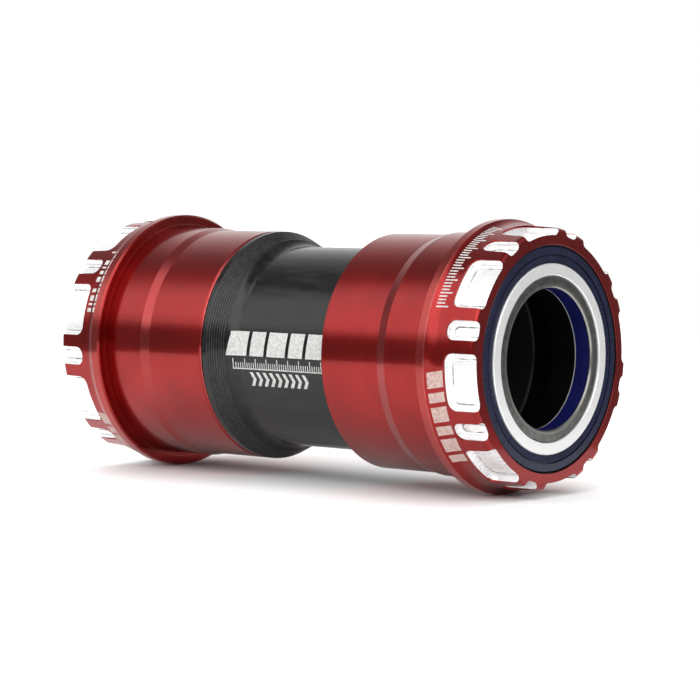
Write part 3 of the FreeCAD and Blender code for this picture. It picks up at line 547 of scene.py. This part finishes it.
def sleeve_marks():
    """Three rows on the sleeve: a bold band of leaning blocks, a fine rule, and a row of chevrons."""
    outlines = []
    block, gap = -9.3, 0.75
    for width in (3.9, 3.2, 4.2, 3.2, 4.2, 3.2):
        outlines.append(bar(block, -0.9, width, 4.3, slant=0.6))
        block += width + gap
    rule, pitch, ticks, thickness = -8.4, 0.5, 52, 0.17
    for tick in range(ticks):
        outlines.append(bar(rule + tick * pitch, -3.1, thickness, 1.75 if tick % 5 == 0 else 1.0))
    outlines.append(bar(rule, -3.28, (ticks - 1) * pitch + thickness, 0.18))
    first_chevron, spacing, stroke, rise = -4.9, 1.5, 0.7, 1.25
    for step in range(9):
        u = first_chevron + step * spacing
        outlines.append(bar(u + stroke, -5.0, stroke, rise, slant=-stroke))
        outlines.append(bar(u, -5.0 - rise, stroke, rise, slant=stroke))
    return outlines


def up_the_cove(degrees):
    """Height along the flange's surface of an angle above the horizon."""
    return math.radians(degrees) * CONE_START_RADIUS


def round_rule(start, count):
    """A fine rule round the cove, upwards from start degrees."""
    low, pitch = up_the_cove(start), 0.62
    return [bar(SHOULDER + 2.5, low + i * pitch, 2.1 if i % 4 == 0 else 1.3, 0.26) for i in range(count)]


def round_blocks(start, count):
    """A bold band of leaning blocks round the cove, downwards from start degrees."""
    outlines, v = [], up_the_cove(start)
    low, high, lean, gap = SHOULDER + 2.2, SHOULDER + 5.0, 0.5, 0.8
    for i in range(count):
        height = 2.7 if i % 2 == 0 else 1.7
        v -= height
        outlines.append([(low, v), (high, v + lean), (high, v + height + lean), (low, v + height)])
        v -= gap
    return outlines


def round_dashes(start, count):
    """Two lines of small dashes round the cove, upwards from start degrees."""
    outlines, v = [], up_the_cove(start)
    width, gap = 0.95, 0.35
    for i in range(count):
        height = (0.9, 0.5, 1.3)[i % 3]
        outlines.append(bar(SHOULDER + 2.1, v, width, height))
        if i % 5 != 4:
            outlines.append(bar(SHOULDER + 3.6, v, width, height * 0.8))
        v += height + gap
    return outlines


def mark_everything():
    white = etched_print("etched_white", ETCHED_WHITE)
    pink = etched_print("etched_pinkish_grey", ETCHED_PINK)
    lay_marks(
        "sleeve_etched_marks", sleeve_marks(), sleeve_radius, False, "sleeve_assembly", white,
    )
    cups = (
        ("drive", False, "drive_cup_assembly", 24, 120, -4),
        ("non_drive", True, "sleeve_assembly", 150, 15, -36),
    )
    for side, mirrored, body, rule, dashes, blocks in cups:
        fine = round_rule(rule, 34) + round_dashes(dashes, 11)
        bold = round_blocks(blocks, 6) + round_blocks(blocks + 180, 6)
        for kind, outlines, material in (("fine", fine, white), ("bold", bold, pink)):
            name = f"{side}_cup_{kind}_marks"
            lay_marks(name, outlines, flange_radius, mirrored, body, material)


# ----------------------------------------------------------------------------------- stage, light and camera
AZIMUTH, ELEVATION, ROLL = 39.875, 3.364, 0.28       # degrees
LENS, SENSOR = 137.5, 36.0                           # mm
LOOK_AT = Vector((3.33, 0.0, -0.26)) * MM
CAMERA_DISTANCE = 475.4 * MM
TABLE_LEFT, TABLE_RIGHT = 0.20, 0.12                 # m from the object's middle to the table's edges
TABLE_NEAR, TABLE_FAR = 0.9, 6.0
ROOM_LIGHT, BACKDROP_LIGHT, SOFTBOX_LIGHT = 0.26, 0.96, 1.45
BACKDROP_EDGE = (0.41, 1.02)       # how squarely behind the object the backdrop starts and is full
SOFTBOX_FOOT = (0.16, 0.34)        # how steeply up the softbox starts and is full
SOFTBOX_HEAD = (0.80, 0.94)        # how steeply up it fades
SOFTBOX_BACK = (0.05, 0.28)        # how squarely behind the object it fades
SOFTBOX_FRONT = (-0.60, -0.15)     # in front of the object it grows from 1 to its front gain
FRONT_GAIN = 1.7
SOFTBOX_RIGHT = (0.15, 0.60)       # to the right it dims from 1 to its right share
RIGHT_SHARE = 0.35
OVERHEAD_LIGHT, OVERHEAD_LEAN = 2.6, 0.35
OVERHEAD_SPREAD = 70                                 # degrees


def camera_axes():
    a, e, roll = math.radians(AZIMUTH), math.radians(ELEVATION), math.radians(ROLL)
    back = Vector((math.sin(a) * math.cos(e), -math.cos(a) * math.cos(e), math.sin(e)))
    level = Vector((math.cos(a), math.sin(a), 0.0))
    upright = back.cross(level)
    right = level * math.cos(roll) + upright * math.sin(roll)
    return right, back.cross(right), back


def make_camera():
    right, up, back = camera_axes()
    data = bpy.data.cameras.new("camera")
    data.lens, data.sensor_width, data.sensor_height = LENS, SENSOR, SENSOR
    data.clip_start, data.clip_end = 0.01, 50.0
    camera = bpy.data.objects.new("camera", data)
    camera.matrix_world = Matrix((right, up, back)).transposed().to_4x4()
    camera.location = LOOK_AT + back * CAMERA_DISTANCE
    bpy.context.scene.collection.objects.link(camera)
    bpy.context.scene.camera = camera


def make_floor():
    """A pale matt table top, set square to the camera, whose near sides end in the metal's reflections."""
    right, _, back = camera_axes()
    level_back = Vector((back.x, back.y, 0)).normalized()
    level_right = Vector((right.x, right.y, 0)).normalized()
    left_edge, right_edge = level_right * -TABLE_LEFT, level_right * TABLE_RIGHT
    near_edge, far_edge = level_back * TABLE_NEAR, level_back * -TABLE_FAR
    outline = left_edge + near_edge, right_edge + near_edge, right_edge + far_edge, left_edge + far_edge
    corners = [(corner.x, corner.y, CAD_BOX[0].z) for corner in outline]
    mesh = bpy.data.meshes.new("floor")
    mesh.from_pydata(corners, [], [(0, 1, 2, 3)])
    floor = bpy.data.objects.new("floor", mesh)
    bpy.context.scene.collection.objects.link(floor)
    g = Graph("pale_floor")
    fibre = g.noise(g.node("ShaderNodeTexCoord").outputs["Object"], 900.0, 4.0, 0.6)
    colour = g.mix(g.ramp(fibre, 0.3, 0.7), *FLOOR)
    mesh.materials.append(g.shade(Base_Color=colour, Roughness=0.8, Normal=g.bump(fibre, 0.00002)))


def make_world():
    """A white studio: pure white to the camera, and for light and reflections a bright backdrop behind the
    object, a long softbox band in front that grows stronger towards the camera, and a dimmer room."""
    world = bpy.data.worlds.new("studio")
    bpy.context.scene.world = world
    g = Graph(world)
    towards = g.node("ShaderNodeTexCoord").outputs["Generated"]
    height = g.node("ShaderNodeSeparateXYZ", Vector=towards).outputs[2]
    azimuth = math.radians(AZIMUTH)
    behind = g.along(towards, (-math.sin(azimuth), math.cos(azimuth), 0))
    rightwards = g.along(towards, (math.cos(azimuth), math.sin(azimuth), 0))

    softbox = g.times(
        g.ramp(height, *SOFTBOX_FOOT), g.fall(height, *SOFTBOX_HEAD), g.fall(behind, *SOFTBOX_BACK),
        g.ramp(behind, *SOFTBOX_FRONT, FRONT_GAIN, 1.0), g.ramp(rightwards, *SOFTBOX_RIGHT, 1.0, RIGHT_SHARE),
    )
    backdrop = g.times(g.ramp(behind, *BACKDROP_EDGE), BACKDROP_LIGHT - ROOM_LIGHT)
    strength = g.plus(ROOM_LIGHT, backdrop, g.times(softbox, SOFTBOX_LIGHT))
    lit = g.node("ShaderNodeBackground", Color=(1, 1, 1, 1), Strength=strength)
    shown = g.node("ShaderNodeBackground", Color=(1, 1, 1, 1), Strength=1.0)
    choice = g.node("ShaderNodeMixShader", Fac=g.node("ShaderNodeLightPath").outputs["Is Camera Ray"])
    g.feed(choice.inputs[1], lit.outputs[0])
    g.feed(choice.inputs[2], shown.outputs[0])
    g.feed(g.output.inputs[0], choice.outputs[0])


def make_overhead():
    """The main soft light from above and a little behind, even over the whole floor."""
    data = bpy.data.lights.new("overhead_softbox", "SUN")
    data.angle = math.radians(OVERHEAD_SPREAD)
    data.energy = OVERHEAD_LIGHT
    lamp = bpy.data.objects.new("overhead_softbox", data)
    towards_lamp = Vector((0, 0, 1)) - OVERHEAD_LEAN * camera_axes()[2]
    lamp.rotation_euler = towards_lamp.to_track_quat("Z", "Y").to_euler()
    lamp.visible_glossy = False
    bpy.context.scene.collection.objects.link(lamp)


finish_nodes()
mark_everything()
make_floor()
make_world()
make_overhead()
make_camera()
bpy.context.scene.view_settings.view_transform = "Standard"
